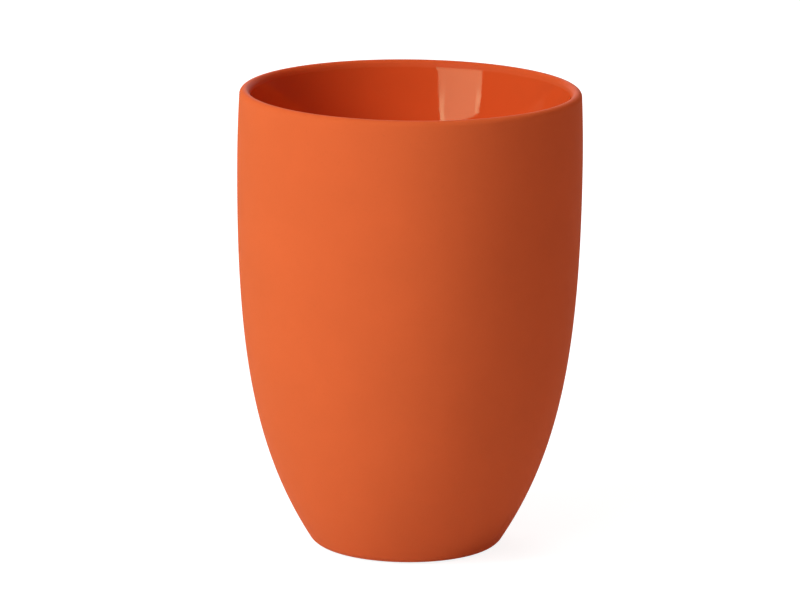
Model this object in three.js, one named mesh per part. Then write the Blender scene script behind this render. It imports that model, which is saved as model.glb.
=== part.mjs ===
// A handleless double-walled mug in matt orange stoneware, glazed inside.
// An inner cup hangs by its lip in an outer shell, and the air between the two keeps the drink warm.
// Every piece is a solid of revolution about Z. The foot stands on z = 0, and sizes are in millimetres.
import * as THREE from "three";

// Outside form. The corner is where the side would meet the table if the foot weren't rounded.
const MUG_HEIGHT = 120;
const RIM_RADIUS = 44.15;
const BELLY_RADIUS = 44.6;
const BELLY_DROP = 19.5; // from the top down to the widest place
const BELLY_PULL = 49; // how far below the widest place the side stays upright
const FOOT_CORNER_RADIUS = 24;
const FOOT_CORNER_LEAN = 33.4; // degrees off the vertical
const FOOT_PULL = 29; // how far up the side keeps the lean of its corner
const FOOT_ROUND = 4.2;

// Outer shell.
const SHELL_WALL = 3;
const SHELL_FLOOR = 3.2;
const SHELL_CORNER_ROUND = 9;
const SHELL_EDGE = 0.9; // blunt top edge, under the lip
const FOOT_RING_WIDTH = 3.4;
const FOOT_RECESS_DEPTH = 1.5;
const FOOT_INNER_ROUND = 1.2;

// Inner cup.
const CUP_WALL = 2.6;
const CUP_FLOOR = 3;
const CUP_CORNER_ROUND = 13;
const AIR_GAP = 4; // between the two walls, below the throat
const FLOOR_GAP = 4.6; // between the two floors
const THROAT_DROP = 42; // from the top down to where the cup starts to run beside the shell
const FLARE_TENSION = 0.33; // how long the flare keeps the direction of each end, as a share of its length

// Lip. Its outer half is a quarter round, and its inner half follows a taller oval.
const LIP_OUTER_ROUND = 1.45;
const LIP_INNER_WIDTH = 1.4;
const LIP_INNER_DROP = 2.4;

// Lap joint under the lip, where a film of slip holds the cup in the shell's bevelled edge.
const LAP_HEIGHT = 11;
const SLIP_FILM = 0.4;

// Vent in the shell's floor, which lets hot air out in the kiln, and the soft plug that closes it.
const VENT_RADIUS = 2.6;
const PLUG_CLEARANCE = 0.1;
const PLUG_HEAD_RADIUS = 5;
const PLUG_HEAD_HEIGHT = 1.4;
const PLUG_HEAD_ROUND = 0.4;
const PLUG_BULB_SWELL = 0.6;
const PLUG_BULB_HEIGHT = 2;

// How finely the forms are cut into facets, and how often a search for a height is halved.
const BODY_SEGMENTS = 64;
const PLUG_SEGMENTS = 32;
const SIDE_STEP = 8; // longest facet up a side
const ROUND_STEP = 18; // widest facet round a corner, in degrees
const HALVINGS = 40;

// Heights that the pieces share.
const bellyHeight = MUG_HEIGHT - BELLY_DROP;
const throatHeight = MUG_HEIGHT - THROAT_DROP;
const seamHeight = MUG_HEIGHT - LIP_OUTER_ROUND;
const lapBottom = seamHeight - LAP_HEIGHT;
const ventSeat = FOOT_RECESS_DEPTH + PLUG_HEAD_HEIGHT;
const shellFloorTop = FOOT_RECESS_DEPTH + SHELL_FLOOR;
const cupUnderside = shellFloorTop + FLOOR_GAP;
const cupFloorTop = cupUnderside + CUP_FLOOR;

// How far the two faces of the cup's wall lie inside the outer side.
const cupOuterDepth = SHELL_WALL + AIR_GAP;
const cupInnerDepth = cupOuterDepth + CUP_WALL;

const { degToRad, lerp } = THREE.MathUtils;

// A point of a profile: its radius from the axis and its height.
const point = (radius, height) => new THREE.Vector2(radius, height);

// A step of some length that leans off the vertical by some degrees.
function leaning(lean, length) {
  return point(Math.sin(degToRad(lean)), Math.cos(degToRad(lean))).multiplyScalar(length);
}

// Evenly spaced values from one to another, both included, with no step longer than asked.
function spread(from, to, step) {
  const count = Math.ceil(Math.abs(to - from) / step);
  return Array.from({ length: count + 1 }, (_, i) => lerp(from, to, i / count));
}

// Points on an oval about a centre, from one angle to another.
function oval(centre, width, height, from, to) {
  const angles = spread(from, to, degToRad(ROUND_STEP));
  return angles.map((angle) => point(width * Math.cos(angle), height * Math.sin(angle)).add(centre));
}

// The outer side, from the corner of the foot up to the seam, as two curves that meet at the widest place.
function outerSide() {
  const corner = point(FOOT_CORNER_RADIUS, 0);
  const footPull = leaning(FOOT_CORNER_LEAN, FOOT_PULL).add(corner);
  const bellyPull = point(BELLY_RADIUS, bellyHeight - BELLY_PULL);
  const belly = point(BELLY_RADIUS, bellyHeight);
  const shoulder = point(BELLY_RADIUS, lerp(bellyHeight, seamHeight, 0.5));
  const side = new THREE.CurvePath();
  side.add(new THREE.CubicBezierCurve(corner, footPull, bellyPull, belly));
  side.add(new THREE.QuadraticBezierCurve(belly, shoulder, point(RIM_RADIUS, seamHeight)));
  return side;
}

const side = outerSide();

// The place on a face that runs some depth inside the outer side, and the direction of the side there.
function faceAt(depth, share) {
  const along = side.getTangent(share);
  return { at: side.getPoint(share).add(point(-along.y, along.x).multiplyScalar(depth)), along };
}

// The same at a height. Past the ends of the side its end holds.
function faceAtHeight(depth, height) {
  let [low, high] = [0, 1];
  for (let i = 0; i < HALVINGS; i++) {
    const middle = lerp(low, high, 0.5);
    if (faceAt(depth, middle).at.y < height) {
      low = middle;
    } else {
      high = middle;
    }
  }
  return faceAt(depth, high);
}

// Points up a face between two heights.
function climb(depth, from, to) {
  return spread(from, to, SIDE_STEP).map((height) => point(faceAtHeight(depth, height).at.x, height));
}

// One face of a wall: from the edge of its flat floor, round the corner and up the side.
function bowl(depth, floor, round, top) {
  const { at: centre, along } = faceAtHeight(depth + round, floor + round);
  const corner = oval(centre, round, round, -Math.PI / 2, along.angle() - Math.PI / 2);
  return [...corner, ...climb(depth, corner.at(-1).y, top).slice(1)];
}

// The bevel inside the shell's edge, from the bottom up, and the face of the cup that slip bonds to it.
const bevel = [
  point(faceAtHeight(SHELL_WALL, lapBottom).at.x, lapBottom),
  point(RIM_RADIUS - SHELL_EDGE, seamHeight),
];
const bonded = bevel.map((end) => point(end.x - SLIP_FILM, end.y));

// The inside of the cup at the foot of the lap, and where the inner half of the lip starts.
const lapInside = point(bonded[0].x - CUP_WALL, lapBottom);
const lipRoot = point(RIM_RADIUS - LIP_OUTER_ROUND - LIP_INNER_WIDTH, MUG_HEIGHT - LIP_INNER_DROP);
const flareRise = lipRoot.clone().sub(lapInside);

// The underside of the shell, from the vent out to the foot ring.
function shellUnderside(ringOuter) {
  const recessEdge = point(ringOuter - FOOT_RING_WIDTH, FOOT_RECESS_DEPTH);
  const seatRadius = PLUG_HEAD_RADIUS + PLUG_CLEARANCE;
  return [
    point(VENT_RADIUS, shellFloorTop),
    point(VENT_RADIUS, ventSeat),
    point(seatRadius, ventSeat),
    point(seatRadius, FOOT_RECESS_DEPTH),
    ...oval(recessEdge, FOOT_INNER_ROUND, FOOT_RECESS_DEPTH, -Math.PI, -Math.PI / 2),
  ];
}

function shellOutline() {
  const outside = bowl(0, 0, FOOT_ROUND, bellyHeight);
  const shoulder = climb(0, bellyHeight, seamHeight).slice(1);
  const inside = bowl(SHELL_WALL, shellFloorTop, SHELL_CORNER_ROUND, lapBottom);
  const underside = shellUnderside(outside[0].x);
  return [...outside, ...shoulder, bevel[1], ...inside.reverse(), ...underside, outside[0]];
}

// The inner half of the lip, from where it leans as the flare does up to the crest.
function lipInside() {
  const centre = point(lipRoot.x + LIP_INNER_WIDTH, lipRoot.y);
  const turn = Math.atan((flareRise.x * LIP_INNER_DROP) / (flareRise.y * LIP_INNER_WIDTH));
  return oval(centre, LIP_INNER_WIDTH, LIP_INNER_DROP, Math.PI - turn, Math.PI / 2);
}

// The outer half of the lip, from the seam up to the crest.
function lipOutside() {
  const centre = point(RIM_RADIUS - LIP_OUTER_ROUND, seamHeight);
  return oval(centre, LIP_OUTER_ROUND, LIP_OUTER_ROUND, 0, Math.PI / 2);
}

// A face of the cup from the throat to the lap, where it leaves the shell's curve and leans out.
function flare(depth, lap) {
  const { at: throat, along } = faceAtHeight(depth, throatHeight);
  const pull = throat.distanceTo(lap) * FLARE_TENSION;
  const throatPull = along.setLength(pull).add(throat);
  const lapPull = lap.clone().sub(flareRise.clone().setLength(pull));
  const curve = new THREE.CubicBezierCurve(throat, throatPull, lapPull, lap);
  return curve.getPoints(Math.ceil(throat.distanceTo(lap) / SIDE_STEP));
}

function cupOutline() {
  const inside = bowl(cupInnerDepth, cupFloorTop, CUP_CORNER_ROUND, throatHeight);
  const outside = bowl(cupOuterDepth, cupUnderside, CUP_CORNER_ROUND + CUP_WALL, throatHeight);
  return [
    point(0, cupUnderside),
    ...outside,
    ...flare(cupOuterDepth, bonded[0]).slice(1),
    bonded[1],
    ...lipOutside().slice(0, -1),
    ...lipInside().reverse(),
    ...flare(cupInnerDepth, lapInside).slice(1).reverse(),
    ...inside.reverse(),
    point(0, cupFloorTop),
  ];
}

// The slip fills the lap between the two, up to the underside of the lip.
function bondOutline() {
  return [...bevel, ...bonded.toReversed(), bevel[0]];
}

// The plug has a flat head in the recess, a stem through the vent and a bulb that snaps in above it.
function plugOutline() {
  const stem = VENT_RADIUS - PLUG_CLEARANCE;
  const edge = point(PLUG_HEAD_RADIUS - PLUG_HEAD_ROUND, FOOT_RECESS_DEPTH + PLUG_HEAD_ROUND);
  const bulb = point(stem, shellFloorTop + PLUG_BULB_HEIGHT / 2);
  return [
    point(0, FOOT_RECESS_DEPTH),
    ...oval(edge, PLUG_HEAD_ROUND, PLUG_HEAD_ROUND, -Math.PI / 2, 0),
    point(PLUG_HEAD_RADIUS, ventSeat),
    point(stem, ventSeat),
    ...oval(bulb, PLUG_BULB_SWELL, PLUG_BULB_HEIGHT / 2, -Math.PI / 2, Math.PI / 2),
    point(0, shellFloorTop + PLUG_BULB_HEIGHT),
  ];
}

// A profile, given anticlockwise, turned about Z.
function turned(name, outline, segments, material) {
  const geometry = new THREE.LatheGeometry(outline, segments);
  geometry.rotateX(Math.PI / 2);
  const mesh = new THREE.Mesh(geometry, material);
  mesh.name = name;
  return mesh;
}

const mattOrange = new THREE.MeshStandardMaterial({ color: 0xd9602f, roughness: 0.85, metalness: 0 });
const glazedOrange = new THREE.MeshStandardMaterial({ color: 0xd24a16, roughness: 0.12, metalness: 0 });
const firedSlip = new THREE.MeshStandardMaterial({ color: 0xc98a66, roughness: 0.9, metalness: 0 });
const paleSilicone = new THREE.MeshStandardMaterial({ color: 0xd8d2c8, roughness: 0.5, metalness: 0 });

const mug = new THREE.Group();
mug.add(turned("outer_shell", shellOutline(), BODY_SEGMENTS, mattOrange));
mug.add(turned("inner_cup", cupOutline(), BODY_SEGMENTS, glazedOrange));
mug.add(turned("rim_bond", bondOutline(), BODY_SEGMENTS, firedSlip));
mug.add(turned("vent_plug", plugOutline(), PLUG_SEGMENTS, paleSilicone));

export default mug;
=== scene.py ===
"""Models and finishes a handleless double-walled stoneware mug, and sets it in a plain studio."""

import math

import bmesh
import bpy
from bpy.props import FloatProperty, FloatVectorProperty, IntProperty, PointerProperty
from mathutils import Matrix, Vector
from mathutils.geometry import interpolate_bezier


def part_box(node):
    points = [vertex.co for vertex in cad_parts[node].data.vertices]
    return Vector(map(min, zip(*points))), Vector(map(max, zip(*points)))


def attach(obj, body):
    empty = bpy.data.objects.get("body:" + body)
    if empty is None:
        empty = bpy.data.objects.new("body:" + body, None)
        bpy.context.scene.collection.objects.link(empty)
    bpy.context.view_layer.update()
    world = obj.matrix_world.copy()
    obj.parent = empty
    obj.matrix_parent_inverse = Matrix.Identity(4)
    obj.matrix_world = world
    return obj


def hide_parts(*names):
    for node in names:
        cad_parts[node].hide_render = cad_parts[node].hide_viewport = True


bl_info = {
    "name": "Double-Walled Mug",
    "version": (1, 0, 0),
    "blender": (4, 5, 0),
    "location": "3D View > Sidebar > Mug",
    "description": "Models and finishes a double-walled stoneware mug in a plain studio",
    "category": "Object",
}

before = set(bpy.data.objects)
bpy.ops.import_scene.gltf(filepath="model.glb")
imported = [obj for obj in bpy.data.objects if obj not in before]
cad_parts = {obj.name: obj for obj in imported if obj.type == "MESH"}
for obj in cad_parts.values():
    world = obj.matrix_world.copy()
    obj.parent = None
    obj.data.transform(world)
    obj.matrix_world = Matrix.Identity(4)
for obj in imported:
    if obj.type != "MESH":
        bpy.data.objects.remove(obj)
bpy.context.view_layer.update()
SHELL_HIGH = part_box("outer_shell")[1]
CUP_LOW, CUP_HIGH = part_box("inner_cup")
BOND_LOW, BOND_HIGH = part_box("rim_bond")
PLUG_LOW, PLUG_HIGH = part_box("vent_plug")
BODY = "root"

# How finely the sections are cut: the longest stretch between two corners, the points along each curve of
# the side and along the flare, and the steps round the corners of the floors and the plug's bulb, round
# the lip, round the foot ring's inner edge and round the plug's head. Lengths are in metres throughout.
LONGEST_STRETCH = 0.0015
SIDE_POINTS = 400
FLARE_POINTS = 24
CORNER_STEPS = 16
LIP_STEPS = 14
RING_STEPS = 10
HEAD_STEPS = 8

# How pieces are finished: the facets of a softened corner, the distance under which corners are merged,
# and the angle past which an edge is shaded sharp.
SOFT_SEGMENTS = 5
MERGE_DISTANCE = 1e-7
SHARP_ANGLE = math.radians(40)

# How far the corners of the vent and of the plug's seat are softened, from the top down.
VENT_SOFTNESS = (0.0003, 0.0002, 0.0003, 0.0003)

# The two tones that each finish is mottled between, as shares of its colour.
COAT_TONES = (0.94, 1.06)
CLAY_TONES = (1.0, 0.72)
GLAZE_TONES = (0.95, 1.05)
SLIP_TONES = (0.85, 1.1)
SILICONE_TONES = (1.0, 0.8)

# The tones of the coat's flecks and of pooled glaze, and how strongly each shows.
FLECK_TONE = 0.86
FLECK_SHARE = 0.3
POOL_TONE = 0.6
POOL_SHARE = 0.2

# What the relief of the coat is made of, and how deep the relief of each finish is.
SOFT_SHARE = 0.3
LINES_SHARE = 0.3
GRAIN_SHARE = 0.4
COAT_RELIEF = 0.00008
GLAZE_RELIEF = 0.00003
SLIP_RELIEF = 0.0001
SILICONE_RELIEF = 0.00004

# The noise for turning lines is drawn out round the mug.
ROUND_THE_MUG = (0.06, 0.06, 1.0)

# Roughness of clean silicone, and how much rougher dust, clouds and bare clay make a surface.
SILICONE_ROUGHNESS = 0.42
DUST_ROUGHER = 0.2
COAT_ROUGHER = 0.12
BARE_ROUGHER = 0.1

# Heights between which one finish passes into another, those of the glaze's edge about the glaze line.
BARE_TO_COAT = (0.00045, 0.00075)
POOLED_TO_THIN = (0.013, 0.04)
GLAZE_EDGE = (-0.0001, 0.0005)

# How far the edges of the bare clay and of the glaze wander up and down.
BARE_WANDER = 0.0006
GLAZE_WANDER = 0.0003

# The coat on the lip is thin up to just inside the crest, and full from just inside the rim.
THIN_INSET = 0.0002
FULL_INSET = 0.0003

# The floor lies just under the foot. The light that it gives back to the mug is that of a pale grey. What
# the camera sees is a darker grey, which takes the shadow, and a glow that grows a little further out.
FLOOR_RADIUS = 6.0
FLOOR_SEGMENTS = 96
FLOOR_HEIGHT = -0.0002
FLOOR_PALE = 0.84
FLOOR_SHADED = 0.35
FLOOR_GLOW = 0.88
FLOOR_GLOW_MORE = 0.12
FLOOR_GLOW_RADII = (0.1, 0.45)

# The surround. The white that gloss shows ends just over the horizon, and higher up behind the mug.
SURROUND_LEVEL = 0.035
HORIZON = (0.015, 0.045)
BEHIND = (0.7, 0.9)
BEHIND_HIGHER = 0.4

# Directions of lights are an azimuth and an elevation in degrees. Every light faces one height on the mug.
KEY_DIRECTION = (-38.0, 33.0)
LIT_HEIGHT = 0.07

# The cards of the key glow more low down.
KEY_GLOW = 1.12
KEY_GLOW_LESS = 0.15
KEY_GLOW_HEIGHTS = (0.44, 0.5)

# Outlines on the cards' own plane. Their lower edges are what the glaze mirrors.
KEY_CARD = (
    (0.347, 0.345),
    (-0.333, 0.345),
    (-0.333, -0.266),
    (-0.367, -0.281),
    (-0.3, -0.289),
    (-0.2, -0.304),
    (0.263, -0.37),
    (0.263, -0.238),
    (0.315, -0.217),
    (0.347, -0.19),
)
KEY_STRIP_RIGHT = (
    (0.285, -0.2235),
    (0.205, -0.2335),
    (0.186, -0.292),
    (0.186, -0.36),
    (0.263, -0.37),
    (0.263, -0.236),
)
KEY_STRIP_LEFT = (
    (-0.27, -0.271),
    (-0.35, -0.275),
    (-0.366, -0.281),
    (-0.34, -0.2836),
    (-0.29, -0.2826),
)

# Tints of the lights.
COOL = (0.79, 1.0, 1.0)
COOLER = (0.74, 1.0, 1.0)
WHITE = (1.0, 1.0, 1.0)
CREAM = (1.0, 0.9, 0.82)
WARM = (1.0, 0.66, 0.5)
WARMER = (1.0, 0.52, 0.38)

# Each card's name, outline, distance and strength.
CARDS = (
    ("key_card", KEY_CARD, 1.1, 2.78),
    ("key_strip_right", KEY_STRIP_RIGHT, 1.09, 5.2),
    ("key_strip_left", KEY_STRIP_LEFT, 1.09, 5.4),
)

# Each soft lamp's name, azimuth and elevation in degrees, distance, width and height, watts and tint.
SOFTBOXES = (
    ("left_panel", -62.0, 33.0, 1.2, (0.5, 0.5), 10.1, COOLER),
    ("left_low", -45.0, 4.0, 1.4, (0.6, 0.2), 1.8, COOL),
    ("front_right", 20.0, 32.0, 1.6, (0.5, 0.5), 3.0, WARMER),
    ("overhead", 0.0, 88.0, 1.3, (0.5, 0.5), 2.5, CREAM),
    ("back_right", 128.0, 5.0, 1.5, (0.6, 0.2), 2.6, WARM),
    ("back_high", 185.0, 45.0, 1.5, (0.9, 0.6), 5.5, WHITE),
)


def length(name, description, default):
    """A size in metres that the panel shows."""
    return FloatProperty(
        name=name, description=description, default=default, min=0.0, subtype="DISTANCE", unit="LENGTH"
    )


def angle(name, description, degrees):
    """An angle that the panel shows."""
    return FloatProperty(
        name=name,
        description=description,
        default=math.radians(degrees),
        min=-math.pi,
        max=math.pi,
        subtype="ANGLE",
        unit="ROTATION",
    )


def share(name, description, default):
    """A share from 0 to 1 that the panel shows."""
    return FloatProperty(
        name=name, description=description, default=default, min=0.0, max=1.0, subtype="FACTOR"
    )


def colour(name, description, default):
    """A linear colour that the panel shows."""
    return FloatVectorProperty(
        name=name, description=description, default=default, size=3, min=0.0, max=1.0, subtype="COLOR"
    )


class MugForm(bpy.types.PropertyGroup):
    """Sizes of the mug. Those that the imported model's boxes give are read from them."""

    rim_radius: length("Rim radius", "Outside of the rim, at the seam", CUP_HIGH.x)
    height: length("Height", "From the table to the top of the lip", CUP_HIGH.z)
    belly_radius: length("Belly radius", "Widest place of the side", SHELL_HIGH.x)
    belly_drop: length("Belly drop", "From the top down to the widest place", 0.0195)
    belly_pull: length("Belly pull", "How far below the widest place the side stays upright", 0.049)
    corner_radius: length("Corner radius", "Where the side would meet the table", 0.024)
    corner_lean: angle("Corner lean", "Lean of the side at the foot, off the vertical", 33.4)
    corner_pull: length("Corner pull", "How far up the side keeps the lean of its corner", 0.029)
    foot_round: length("Foot round", "Round of the foot's outer edge", 0.0042)
    shell_wall: length("Shell wall", "Thickness of the outer shell", 0.003)
    shell_floor: length("Shell floor", "Thickness of the shell's floor", 0.0032)
    shell_corner: length("Shell corner", "Round inside the shell's floor", 0.009)
    seam_height: length("Seam height", "Top edge of the shell, under the lip", SHELL_HIGH.z)
    edge_radius: length("Edge radius", "Inner radius of the shell's top edge", BOND_HIGH.x)
    lap_bottom: length("Lap bottom", "Foot of the bevel that the cup is bonded to", BOND_LOW.z)
    slip_film: length("Slip film", "Film of slip between the bevel and the cup", 0.0004)
    ring_width: length("Ring width", "Flat of the foot ring", 0.0034)
    ring_round: length("Ring round", "Round of the foot ring's inner edge", 0.0012)
    recess_depth: length("Recess depth", "Height of the underside above the table", PLUG_LOW.z)
    cup_wall: length("Cup wall", "Thickness of the inner cup", 0.0026)
    cup_floor: length("Cup floor", "Thickness of the cup's floor", 0.003)
    cup_corner: length("Cup corner", "Round inside the cup's floor", 0.013)
    cup_underside: length("Cup underside", "Height of the cup's underside", CUP_LOW.z)
    air_gap: length("Air gap", "Gap between the two walls", 0.004)
    throat_drop: length("Throat drop", "From the top down to where the cup starts to flare", 0.042)
    flare_tension: share("Flare tension", "How long the flare keeps the direction of each end", 0.33)
    lip_width: length("Lip width", "Width of the lip's inner half", 0.0014)
    lip_drop: length("Lip drop", "Height of the lip's inner half", 0.0024)
    vent_radius: length("Vent radius", "Hole in the shell's floor", 0.0026)
    plug_clearance: length("Plug clearance", "Gap round the plug", 0.0001)
    plug_radius: length("Plug radius", "Head of the plug", PLUG_HIGH.x)
    plug_head: length("Plug head", "Height of the plug's head", 0.0014)
    plug_round: length("Plug round", "Round of the plug's head", 0.0004)
    plug_swell: length("Plug swell", "How far the plug's bulb swells past its stem", 0.0006)
    plug_top: length("Plug top", "Height of the plug's top", PLUG_HIGH.z)
    turns: IntProperty(name="Turns", description="Facets round the mug", default=192, min=8, max=512)


class MugFinish(bpy.types.PropertyGroup):
    """Colours and gloss of the mug's materials."""

    coat: colour("Coat", "Matt coat outside and over the lip", (0.74, 0.114, 0.031))
    glaze: colour("Glaze", "Glossy glaze inside", (0.735, 0.073, 0.0148))
    clay: colour("Clay", "Bare fired clay", (0.55, 0.36, 0.24))
    slip: colour("Slip", "Fired joining slip", (0.58, 0.27, 0.13))
    silicone: colour("Silicone", "Plug under the foot", (0.66, 0.62, 0.56))
    coat_roughness: share("Coat roughness", "Roughness of the matt coat", 0.78)
    coat_gloss: share("Coat gloss", "Strength of the matt coat's faint gloss", 0.12)
    glaze_roughness: share("Glaze roughness", "Roughness of the glaze", 0.04)
    glaze_line: length("Glaze line", "How far below the lip's top the glaze begins", 0.0018)
    glaze_shine: colour("Glaze shine", "Colour of what the glaze reflects", (1.0, 0.78, 0.45))
    lip_thinness: share("Lip thinness", "How far the glaze's colour shows through the coat on the lip", 0.6)
    lip_shine: share("Lip shine", "Strength of the soft shine on the lip", 0.7)


class MugStudio(bpy.types.PropertyGroup):
    """Where the camera stands and how it is turned."""

    distance: length("Camera distance", "From the camera to the middle of the mug", 1.5)
    middle: length("Middle height", "Height that the camera's orbit is measured from", 0.05)
    aim: length("Aim height", "Height that the camera looks at", 0.06436)
    elevation: angle("Elevation", "Camera above the horizon", 13.29)
    yaw: angle("Yaw", "Camera turned to the right", -0.086)
    roll: angle("Roll", "Picture turned clockwise", 0.617)
    lens: FloatProperty(name="Lens", description="Focal length in millimetres", default=259.62, min=1.0)


def spot(radius, height):
    """A place in the section, by its radius and height."""
    return Vector((radius, 0.0, height))


def leaning(lean, reach):
    """A step that leans off the vertical."""
    return spot(math.sin(lean), math.cos(lean)) * reach


def oval(centre, width, height, start, end, steps):
    """Places on an oval from one angle to another."""
    turns = (start + (end - start) * step / steps for step in range(steps + 1))
    return [centre + spot(width * math.cos(turn), height * math.sin(turn)) for turn in turns]


def offset(line, depth):
    """A climbing line moved square to itself, towards the axis."""
    moved = []
    for before, here, after in zip([line[0], *line], line, [*line[1:], line[-1]]):
        along = (after - before).normalized()
        moved.append(here + spot(-along.z, along.x) * depth)
    return moved


def stretch_at(line, height):
    """The two neighbours on a climbing line that a height lies between."""
    for low, high in zip(line, line[1:]):
        if high.z >= height:
            return low, high
    return line[-2], line[-1]


def radius_at(line, height):
    """The radius of a climbing line at a height."""
    low, high = stretch_at(line, height)
    return low.lerp(high, (height - low.z) / (high.z - low.z)).x


def outer_side(form):
    """The side from the foot's corner to the seam, as fine points along two curves that meet at the belly."""
    belly = spot(form.belly_radius, form.height - form.belly_drop)
    corner = spot(form.corner_radius, 0.0)
    seam = spot(form.rim_radius, form.seam_height)
    lower = interpolate_bezier(
        corner,
        corner + leaning(form.corner_lean, form.corner_pull),
        belly - spot(0.0, form.belly_pull),
        belly,
        SIDE_POINTS,
    )
    # Both handles of the upper curve lie two thirds of the way to one point, the shoulder.
    shoulder = spot(form.belly_radius, (belly.z + form.seam_height) / 2)
    upper = interpolate_bezier(
        belly, belly.lerp(shoulder, 2 / 3), seam.lerp(shoulder, 2 / 3), seam, SIDE_POINTS
    )
    return [*lower, *upper[1:]]


def climb(line, start, end):
    """Places up a line between two heights, no further apart in height than the longest stretch."""
    steps = math.ceil(abs(end - start) / LONGEST_STRETCH)
    heights = (start + (end - start) * step / steps for step in range(steps + 1))
    return [spot(radius_at(line, height), height) for height in heights]


def bowl(side, depth, floor, rounding, top):
    """One face of a wall, from the edge of its flat floor round the corner and up the side."""
    centre_line = offset(side, depth + rounding)
    centre = spot(radius_at(centre_line, floor + rounding), floor + rounding)
    low, high = stretch_at(centre_line, centre.z)
    lean = math.atan2(high.x - low.x, high.z - low.z)
    corner = oval(centre, rounding, rounding, -math.pi / 2, -lean, CORNER_STEPS)
    return [*corner, *climb(offset(side, depth), corner[-1].z, top)[1:]]


def lap_faces(form, side):
    """The shell's bevel and the face of the cup that is bonded to it, each from the bottom up."""
    foot = radius_at(offset(side, form.shell_wall), form.lap_bottom)
    bevel = [spot(foot, form.lap_bottom), spot(form.edge_radius, form.seam_height)]
    return bevel, [end - spot(form.slip_film, 0.0) for end in bevel]


def vent_corners(form):
    """The corners of the vent and of the plug's seat in the shell's floor, from the top down."""
    seat = form.recess_depth + form.plug_head
    seat_radius = form.plug_radius + form.plug_clearance
    return [
        spot(form.vent_radius, form.recess_depth + form.shell_floor),
        spot(form.vent_radius, seat),
        spot(seat_radius, seat),
        spot(seat_radius, form.recess_depth),
    ]


def shell_section(form):
    """The closed section of the outer shell, anticlockwise from the foot ring."""
    side = outer_side(form)
    bevel = lap_faces(form, side)[0]
    floor_top = form.recess_depth + form.shell_floor
    outside = bowl(side, 0.0, 0.0, form.foot_round, form.seam_height)
    inside = bowl(side, form.shell_wall, floor_top, form.shell_corner, form.lap_bottom)
    ring_edge = spot(outside[0].x - form.ring_width, form.recess_depth)
    return [
        *outside,
        bevel[1],
        *reversed(inside),
        *vent_corners(form),
        *oval(ring_edge, form.ring_round, form.recess_depth, -math.pi, -math.pi / 2, RING_STEPS),
    ]


def flare(form, side, depth, lap, lean):
    """A face of the cup from the throat up to the lap, where it leans out."""
    line = offset(side, depth)
    low, high = stretch_at(line, form.height - form.throat_drop)
    pull = (lap - low).length * form.flare_tension
    handle = low + (high - low).normalized() * pull
    return interpolate_bezier(low, handle, lap - lean * pull, lap, FLARE_POINTS)


def cup_section(form):
    """The section of the inner cup, anticlockwise from the middle of its underside."""
    side = outer_side(form)
    bonded = lap_faces(form, side)[1]
    outer_depth = form.shell_wall + form.air_gap
    inner_depth = outer_depth + form.cup_wall
    floor_top = form.cup_underside + form.cup_floor
    throat = form.height - form.throat_drop
    lip_round = form.height - form.seam_height
    crest = form.rim_radius - lip_round
    lap_inside = spot(bonded[0].x - form.cup_wall, form.lap_bottom)
    lip_root = spot(crest - form.lip_width, form.height - form.lip_drop)
    lean = (lip_root - lap_inside).normalized()
    turn = math.atan(lean.x * form.lip_drop / (lean.z * form.lip_width))
    outside = bowl(side, outer_depth, form.cup_underside, form.cup_corner + form.cup_wall, throat)
    inside = bowl(side, inner_depth, floor_top, form.cup_corner, throat)
    lip_outside = oval(spot(crest, form.seam_height), lip_round, lip_round, 0.0, math.pi / 2, LIP_STEPS)
    lip_inside = oval(
        spot(crest, lip_root.z), form.lip_width, form.lip_drop, math.pi / 2, math.pi - turn, LIP_STEPS
    )
    return [
        spot(0.0, form.cup_underside),
        *outside,
        *flare(form, side, outer_depth, bonded[0], lean)[1:],
        bonded[1],
        *lip_outside,
        *lip_inside[1:],
        *reversed(flare(form, side, inner_depth, lap_inside, lean)[1:]),
        *reversed(inside),
        spot(0.0, floor_top),
    ]


def plug_section(form):
    """The section of the plug, anticlockwise from the middle of its head."""
    stem = form.vent_radius - form.plug_clearance
    seat = form.recess_depth + form.plug_head
    floor_top = form.recess_depth + form.shell_floor
    bulb_half = (form.plug_top - floor_top) / 2
    bulb = spot(stem, floor_top + bulb_half)
    edge = spot(form.plug_radius - form.plug_round, form.recess_depth + form.plug_round)
    return [
        spot(0.0, form.recess_depth),
        *oval(edge, form.plug_round, form.plug_round, -math.pi / 2, 0.0, HEAD_STEPS),
        spot(form.plug_radius, seat),
        spot(stem, seat),
        *oval(bulb, form.plug_swell, bulb_half, -math.pi / 2, math.pi / 2, CORNER_STEPS),
        spot(0.0, form.plug_top),
    ]


def linked(name, data):
    """A new object in the scene, at the origin."""
    made = bpy.data.objects.new(name, data)
    bpy.context.scene.collection.objects.link(made)
    return made


def meshed(name, mesh):
    """A new object from a bmesh, which is freed."""
    data = bpy.data.meshes.new(name)
    mesh.to_mesh(data)
    mesh.free()
    return linked(name, data)


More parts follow.
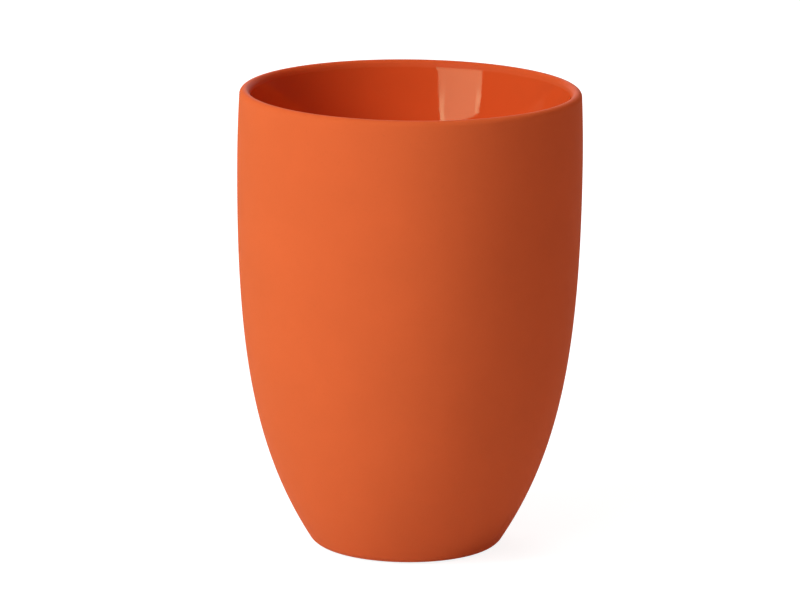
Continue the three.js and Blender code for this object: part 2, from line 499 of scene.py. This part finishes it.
def turned(name, section, turns, soft_corners=()):
    """A piece turned about Z from its section. Corners near the places given are softened first."""
    mesh = bmesh.new()
    corners = [mesh.verts.new(place) for place in section]
    for start, end in zip(corners, corners[1:]):
        mesh.edges.new((start, end))
    if section[0].x > 0.0:
        mesh.edges.new((corners[-1], corners[0]))
    for place, softness in soft_corners:
        nearest = min(mesh.verts, key=lambda vert: (vert.co - place).length)
        bmesh.ops.bevel(
            mesh,
            geom=[nearest],
            offset=softness,
            offset_type="OFFSET",
            segments=SOFT_SEGMENTS,
            profile=0.5,
            affect="VERTICES",
            material=-1,
        )
    for edge in mesh.edges[:]:
        cuts = int(edge.calc_length() / LONGEST_STRETCH)
        if cuts:
            bmesh.ops.subdivide_edges(mesh, edges=[edge], cuts=cuts)
    bmesh.ops.spin(
        mesh,
        geom=mesh.verts[:] + mesh.edges[:],
        cent=(0.0, 0.0, 0.0),
        axis=(0.0, 0.0, 1.0),
        angle=2 * math.pi,
        steps=turns,
        use_merge=True,
    )
    bmesh.ops.remove_doubles(mesh, verts=mesh.verts, dist=MERGE_DISTANCE)
    bmesh.ops.recalc_face_normals(mesh, faces=mesh.faces)
    for face in mesh.faces:
        face.smooth = True
    piece = meshed(name, mesh)
    piece.data.set_sharp_from_angle(angle=SHARP_ANGLE)
    return piece


def stands_for(piece, node, material):
    """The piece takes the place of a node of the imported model, and moves with its body."""
    piece.data.materials.append(material)
    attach(piece, BODY)
    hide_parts(node)


def opaque(rgb):
    """A colour with full alpha."""
    return (*rgb, 1.0)


def grey(level):
    """A grey with full alpha."""
    return (level, level, level, 1.0)


def shade(rgb, factor):
    """A colour made lighter or darker, with full alpha."""
    return (*(min(1.0, part * factor) for part in rgb), 1.0)


def named(sockets, name):
    """The socket in use that has a name."""
    return next(socket for socket in sockets if socket.enabled and socket.name == name)


class Socket:
    """A number or vector in a material, which can be used in sums."""

    def __init__(self, recipe, socket):
        self.recipe = recipe
        self.socket = socket

    def _math(self, operation, first, second):
        return self.recipe.node("Math", {"operation": operation}, {0: first, 1: second})["Value"]

    def __add__(self, other):
        return self._math("ADD", self, other)

    def __radd__(self, other):
        return self._math("ADD", other, self)

    def __sub__(self, other):
        return self._math("SUBTRACT", self, other)

    def __rsub__(self, other):
        return self._math("SUBTRACT", other, self)

    def __mul__(self, other):
        return self._math("MULTIPLY", self, other)

    def __rmul__(self, other):
        return self._math("MULTIPLY", other, self)

    def __pow__(self, other):
        return self._math("POWER", self, other)

    def __rpow__(self, other):
        return self._math("POWER", other, self)


class Outputs:
    """A node's outputs, by name, ready for sums."""

    def __init__(self, recipe, node):
        self.recipe = recipe
        self.made = node

    def __getitem__(self, name):
        return Socket(self.recipe, named(self.made.outputs, name))


class Recipe:
    """One material, mixed node by node."""

    def __init__(self, name):
        self.material = bpy.data.materials.new(name)
        self.material.use_nodes = True
        self.start(self.material.node_tree)
        self.place = self.node("TexCoord")["Object"]

    @classmethod
    def of_tree(cls, tree):
        """A recipe for a tree that isn't a material's."""
        recipe = cls.__new__(cls)
        recipe.start(tree)
        return recipe

    def start(self, tree):
        """Empties a tree and works in it."""
        self.tree = tree
        self.tree.nodes.clear()

    def node(self, kind, settings=None, inputs=None):
        """Adds a node, with its settings first and then the values or links of its sockets."""
        made = self.tree.nodes.new("ShaderNode" + kind)
        for name, value in (settings or {}).items():
            setattr(made, name, value)
        for name, value in (inputs or {}).items():
            socket = made.inputs[name] if isinstance(name, int) else named(made.inputs, name)
            if isinstance(value, Socket):
                self.tree.links.new(value.socket, socket)
            else:
                socket.default_value = value
        return Outputs(self, made)

    def noise(self, size, detail=2.0, roughness=0.5, place=None):
        """Cloudy noise about 0.5, whose features are of a size in metres."""
        inputs = {
            "Vector": place or self.place,
            "Scale": 1 / size,
            "Detail": detail,
            "Roughness": roughness,
        }
        return self.node("TexNoise", {"noise_dimensions": "3D"}, inputs)["Fac"]

    def scaled(self, scale):
        """Object coordinates, scaled along each axis."""
        inputs = {"Vector": self.place, "Scale": scale}
        return self.node("Mapping", {"vector_type": "POINT"}, inputs)["Vector"]

    def axes(self):
        """The three object coordinates as numbers."""
        parts = self.node("SeparateXYZ", None, {"Vector": self.place})
        return parts["X"], parts["Y"], parts["Z"]

    def height(self):
        """Height above the table."""
        return self.axes()[2]

    def radius(self):
        """Distance from the mug's axis."""
        x, y, _ = self.axes()
        return (x * x + y * y) ** 0.5

    def rise(self, value, low, high):
        """0 below one value, 1 above another, and smooth between them."""
        inputs = {"Value": value, "From Min": low, "From Max": high, "To Min": 0.0, "To Max": 1.0}
        return self.node("MapRange", {"interpolation_type": "SMOOTHSTEP"}, inputs)["Result"]

    def clamped(self, value):
        """The value, kept between 0 and 1."""
        return self.node("Clamp", None, {"Value": value, "Min": 0.0, "Max": 1.0})["Result"]

    def mix(self, factor, first, second):
        """A colour between two others."""
        settings = {"data_type": "RGBA", "blend_type": "MIX"}
        return self.node("Mix", settings, {"Factor": factor, "A": first, "B": second})["Result"]

    def mottled(self, rgb, tones, mask):
        """A colour that a mask takes from its first tone to its second."""
        return self.mix(mask, shade(rgb, tones[0]), shade(rgb, tones[1]))

    def bump(self, height, distance):
        """A normal that follows a height from 0 to 1, which stands for a distance in metres."""
        inputs = {"Height": height, "Strength": 1.0, "Distance": distance}
        return self.node("Bump", None, inputs)["Normal"]

    def principled(self, inputs):
        """A principled surface."""
        return self.node("BsdfPrincipled", None, inputs)["BSDF"]

    def diffuse(self, level):
        """A dull grey surface."""
        return self.node("BsdfDiffuse", None, {"Color": grey(level)})["BSDF"]

    def glow(self, rgb, strength):
        """A surface that gives light."""
        return self.node("Emission", None, {"Color": opaque(rgb), "Strength": strength})["Emission"]

    def background(self, level):
        """An even white surround."""
        return self.node("Background", None, {"Color": grey(1.0), "Strength": level})["Background"]

    def between(self, factor, first, second):
        """Two surfaces, mixed by a factor."""
        return self.node("MixShader", None, {0: factor, 1: first, 2: second})["Shader"]

    def end(self, surface):
        """Ends the material in a surface."""
        self.node("OutputMaterial", None, {"Surface": surface})
        return self.material


def coat_grain(recipe):
    """Relief of the matt coat: fine dry grain over soft unevenness and faint turning lines."""
    lines = recipe.noise(size=0.0016, place=recipe.scaled(ROUND_THE_MUG))
    soft = recipe.noise(size=0.006, detail=1.0)
    grain = recipe.noise(size=0.00028, roughness=0.6)
    return soft * SOFT_SHARE + lines * LINES_SHARE + grain * GRAIN_SHARE


def coat_surface(recipe, finish):
    """Sockets of the matt orange coat, with soft clouds of tone and small darker flecks."""
    cloud = recipe.noise(size=0.022, detail=3.0, roughness=0.55)
    fleck = recipe.rise(recipe.noise(size=0.0005), low=0.6, high=0.75)
    tone = recipe.mottled(finish.coat, COAT_TONES, cloud)
    tone = recipe.mix(fleck * FLECK_SHARE, tone, shade(finish.coat, FLECK_TONE))
    return {
        "Base Color": tone,
        "Roughness": finish.coat_roughness + recipe.noise(size=0.004) * COAT_ROUGHER,
        "Diffuse Roughness": 0.2,
        "Specular IOR Level": finish.coat_gloss,
        "Normal": recipe.bump(coat_grain(recipe), COAT_RELIEF),
    }


def coat_material(finish):
    """Matt orange coat, rubbed off to bare clay where the foot ring stands."""
    recipe = Recipe("matt_coat")
    height = recipe.height()
    coat = coat_surface(recipe, finish)
    wander = recipe.noise(size=0.0022, detail=3.0, roughness=0.6) * BARE_WANDER
    bare = 1 - recipe.rise(height + wander, *BARE_TO_COAT)
    speckle = recipe.rise(recipe.noise(size=0.0008, roughness=0.7), low=0.5, high=0.8)
    clay = recipe.mottled(finish.clay, CLAY_TONES, speckle)
    coat["Base Color"] = recipe.mix(bare, coat["Base Color"], clay)
    coat["Roughness"] = coat["Roughness"] + bare * BARE_ROUGHER
    return recipe.end(recipe.principled(coat))


def glaze_material(form, finish):
    """Glossy glaze inside, up to a line just below the lip, which wears the matt coat of the outside."""
    recipe = Recipe("glossy_glaze")
    height = recipe.height()
    crest = form.rim_radius - (form.height - form.seam_height)
    line = form.height - finish.glaze_line
    wander = recipe.noise(size=0.005) * GLAZE_WANDER
    matt = recipe.rise(height + wander, line + GLAZE_EDGE[0], line + GLAZE_EDGE[1])
    thin = 1 - recipe.rise(recipe.radius(), crest - THIN_INSET, form.rim_radius - FULL_INSET)
    cloud = recipe.noise(size=0.016, detail=3.0)
    glaze = recipe.mottled(finish.glaze, GLAZE_TONES, cloud)
    pooled = 1 - recipe.rise(height, *POOLED_TO_THIN)
    glaze = recipe.mix(pooled * POOL_SHARE, glaze, shade(finish.glaze, POOL_TONE))
    ripple = recipe.noise(size=0.018, detail=1.0)
    shiny = {
        "Base Color": glaze,
        "Roughness": finish.glaze_roughness,
        "IOR": 1.55,
        "Specular Tint": opaque(finish.glaze_shine),
        "Normal": recipe.bump(ripple, GLAZE_RELIEF),
    }
    lip = coat_surface(recipe, finish)
    lip["Base Color"] = recipe.mix(thin * finish.lip_thinness, lip["Base Color"], glaze)
    lip["Coat Weight"] = thin * finish.lip_shine
    lip["Coat Roughness"] = 0.4
    lip["Coat IOR"] = 1.2
    return recipe.end(recipe.between(matt, recipe.principled(shiny), recipe.principled(lip)))


def slip_material(finish):
    """Fired joining slip, hidden in the lap."""
    recipe = Recipe("fired_slip")
    speckle = recipe.noise(size=0.0012, detail=3.0, roughness=0.7)
    surface = recipe.principled(
        {
            "Base Color": recipe.mottled(finish.slip, SLIP_TONES, speckle),
            "Roughness": 0.9,
            "Normal": recipe.bump(speckle, SLIP_RELIEF),
        }
    )
    return recipe.end(surface)


def silicone_material(finish):
    """Soft milky silicone with a little dust in its grain."""
    recipe = Recipe("milky_silicone")
    dust = recipe.noise(size=0.0009, detail=4.0, roughness=0.65)
    dusty = recipe.rise(dust, low=0.5, high=0.8)
    surface = recipe.principled(
        {
            "Base Color": recipe.mottled(finish.silicone, SILICONE_TONES, dusty),
            "Roughness": SILICONE_ROUGHNESS + dust * DUST_ROUGHER,
            "IOR": 1.41,
            "Subsurface Weight": 0.25,
            "Subsurface Radius": (0.002, 0.0018, 0.0015),
            "Normal": recipe.bump(recipe.noise(size=0.0004), SILICONE_RELIEF),
        }
    )
    return recipe.end(surface)


class MUG_OT_outer_shell(bpy.types.Operator):
    """Turn the outer shell with its foot ring and vent"""

    bl_idname = "mug.outer_shell"
    bl_label = "Outer Shell"

    def execute(self, context):
        form, finish = context.scene.mug_form, context.scene.mug_finish
        soft_corners = zip(vent_corners(form), VENT_SOFTNESS)
        piece = turned("outer_shell_body", shell_section(form), form.turns, soft_corners)
        stands_for(piece, "outer_shell", coat_material(finish))
        return {"FINISHED"}


class MUG_OT_inner_cup(bpy.types.Operator):
    """Turn the inner cup with its flare and lip"""

    bl_idname = "mug.inner_cup"
    bl_label = "Inner Cup"

    def execute(self, context):
        form, finish = context.scene.mug_form, context.scene.mug_finish
        piece = turned("inner_cup_body", cup_section(form), form.turns)
        stands_for(piece, "inner_cup", glaze_material(form, finish))
        return {"FINISHED"}


class MUG_OT_rim_bond(bpy.types.Operator):
    """Turn the ring of slip that bonds the cup to the shell"""

    bl_idname = "mug.rim_bond"
    bl_label = "Rim Bond"

    def execute(self, context):
        form, finish = context.scene.mug_form, context.scene.mug_finish
        bevel, bonded = lap_faces(form, outer_side(form))
        piece = turned("rim_bond_ring", [*bevel, *reversed(bonded)], form.turns)
        stands_for(piece, "rim_bond", slip_material(finish))
        return {"FINISHED"}


class MUG_OT_vent_plug(bpy.types.Operator):
    """Turn the soft plug that closes the vent, with half as many facets as the mug"""

    bl_idname = "mug.vent_plug"
    bl_label = "Vent Plug"

    def execute(self, context):
        form, finish = context.scene.mug_form, context.scene.mug_finish
        piece = turned("vent_plug_body", plug_section(form), form.turns // 2)
        stands_for(piece, "vent_plug", silicone_material(finish))
        return {"FINISHED"}


def add_camera(studio):
    """The camera at the photograph's height and tilt."""
    away = Vector((0.0, -math.cos(studio.elevation), math.sin(studio.elevation)))
    place = Vector((0.0, 0.0, studio.middle)) + away * studio.distance
    pitch = math.atan2(place.z - studio.aim, -place.y)
    forward = Vector(
        (math.sin(studio.yaw) * math.cos(pitch), math.cos(studio.yaw) * math.cos(pitch), -math.sin(pitch))
    )
    level = Vector((math.cos(studio.yaw), -math.sin(studio.yaw), 0.0))
    right = Matrix.Rotation(-studio.roll, 3, forward) @ level
    upward = right.cross(forward)
    data = bpy.data.cameras.new("camera")
    data.lens = studio.lens
    camera = linked("camera", data)
    camera.matrix_world = Matrix.Translation(place) @ Matrix((right, upward, -forward)).transposed().to_4x4()
    bpy.context.scene.camera = camera


def facing(azimuth, elevation, distance):
    """The place and turn of a light that faces the mug. Azimuth 0 is the camera's side, and 90 the right."""
    turn, tilt = math.radians(azimuth), math.radians(elevation)
    away = Vector((math.sin(turn) * math.cos(tilt), -math.cos(turn) * math.cos(tilt), math.sin(tilt)))
    place = Vector((0.0, 0.0, LIT_HEIGHT)) + away * distance
    return Matrix.Translation(place) @ away.to_track_quat("Z", "Y").to_matrix().to_4x4()


def add_card(name, outline, distance, strength):
    """A glowing card in the key's place, which the camera and shadows don't see."""
    mesh = bmesh.new()
    mesh.faces.new([mesh.verts.new((x, y, 0.0)) for x, y in outline])
    mesh.transform(facing(*KEY_DIRECTION, distance))
    card = meshed(name, mesh)
    card.visible_camera = False
    card.visible_shadow = False
    recipe = Recipe(name)
    level = KEY_GLOW - recipe.rise(recipe.height(), *KEY_GLOW_HEIGHTS) * KEY_GLOW_LESS
    card.data.materials.append(recipe.end(recipe.glow(COOL, level * strength)))


def add_softbox(name, azimuth, elevation, distance, size, watts, tint):
    """A soft fill lamp that faces the mug from a direction, and isn't mirrored in the glaze."""
    data = bpy.data.lights.new(name, "AREA")
    data.shape = "RECTANGLE"
    data.size, data.size_y = size
    data.energy = watts
    data.color = tint
    lamp = linked(name, data)
    lamp.matrix_world = facing(azimuth, elevation, distance)
    lamp.visible_camera = False
    lamp.visible_glossy = False


def add_floor():
    """A wide pale floor. To the camera it is white where nothing shades it."""
    mesh = bmesh.new()
    bmesh.ops.create_circle(mesh, cap_ends=True, radius=FLOOR_RADIUS, segments=FLOOR_SEGMENTS)
    floor = meshed("floor", mesh)
    floor.location = (0.0, 0.0, FLOOR_HEIGHT)
    recipe = Recipe("pale_floor")
    rays = recipe.node("LightPath")
    shown = recipe.clamped(rays["Is Camera Ray"] + rays["Is Glossy Ray"] + rays["Is Transmission Ray"])
    level = FLOOR_GLOW + recipe.rise(recipe.radius(), *FLOOR_GLOW_RADII) * FLOOR_GLOW_MORE
    both = {0: recipe.diffuse(FLOOR_SHADED), 1: recipe.glow(WHITE, level)}
    white = recipe.node("AddShader", None, both)["Shader"]
    surface = recipe.between(shown, recipe.diffuse(FLOOR_PALE), white)
    floor.data.materials.append(recipe.end(surface))


def add_world():
    """A dim surround. The camera sees it white, and gloss and glass show that white round the horizon."""
    world = bpy.data.worlds.new("surround")
    world.use_nodes = True
    recipe = Recipe.of_tree(world.node_tree)
    rays = recipe.node("LightPath")
    direction = recipe.node("SeparateXYZ", None, {"Vector": recipe.node("TexCoord")["Generated"]})
    behind = recipe.rise(direction["Y"], *BEHIND)
    horizon = 1 - recipe.rise(direction["Z"] - behind * BEHIND_HIGHER, *HORIZON)
    mirrored = rays["Is Glossy Ray"] + rays["Is Transmission Ray"]
    shown = recipe.clamped(rays["Is Camera Ray"] + mirrored * horizon)
    surface = recipe.between(shown, recipe.background(SURROUND_LEVEL), recipe.background(1.0))
    recipe.node("OutputWorld", None, {"Surface": surface})
    bpy.context.scene.world = world


class MUG_OT_studio(bpy.types.Operator):
    """Set the floor, the surround, the lamps and the camera"""

    bl_idname = "mug.studio"
    bl_label = "Studio"

    def execute(self, context):
        context.scene.view_settings.view_transform = "Standard"
        add_floor()
        add_world()
        for card in CARDS:
            add_card(*card)
        for softbox in SOFTBOXES:
            add_softbox(*softbox)
        add_camera(context.scene.mug_studio)
        return {"FINISHED"}


class MUG_PT_sidebar(bpy.types.Panel):
    """Lists the mug's pieces and its studio"""

    bl_idname = "MUG_PT_sidebar"
    bl_label = "Double-Walled Mug"
    bl_space_type = "VIEW_3D"
    bl_region_type = "UI"
    bl_category = "Mug"

    def draw(self, context):
        for step in STEPS:
            self.layout.operator(step.bl_idname)
        for group in (context.scene.mug_form, context.scene.mug_finish, context.scene.mug_studio):
            box = self.layout.box()
            for name in group.__annotations__:
                box.prop(group, name)


STEPS = (MUG_OT_outer_shell, MUG_OT_inner_cup, MUG_OT_rim_bond, MUG_OT_vent_plug, MUG_OT_studio)
CLASSES = (MugForm, MugFinish, MugStudio, *STEPS, MUG_PT_sidebar)


def register():
    """Adds the mug's settings, operators and panel."""
    for cls in CLASSES:
        bpy.utils.register_class(cls)
    bpy.types.Scene.mug_form = PointerProperty(type=MugForm)
    bpy.types.Scene.mug_finish = PointerProperty(type=MugFinish)
    bpy.types.Scene.mug_studio = PointerProperty(type=MugStudio)


def unregister():
    """Takes them away again."""
    del bpy.types.Scene.mug_studio
    del bpy.types.Scene.mug_finish
    del bpy.types.Scene.mug_form
    for cls in reversed(CLASSES):
        bpy.utils.unregister_class(cls)


def main():
    """Makes the mug and its studio."""
    register()
    bpy.ops.mug.outer_shell()
    bpy.ops.mug.inner_cup()
    bpy.ops.mug.rim_bond()
    bpy.ops.mug.vent_plug()
    bpy.ops.mug.studio()


if __name__ == "__main__":
    main()
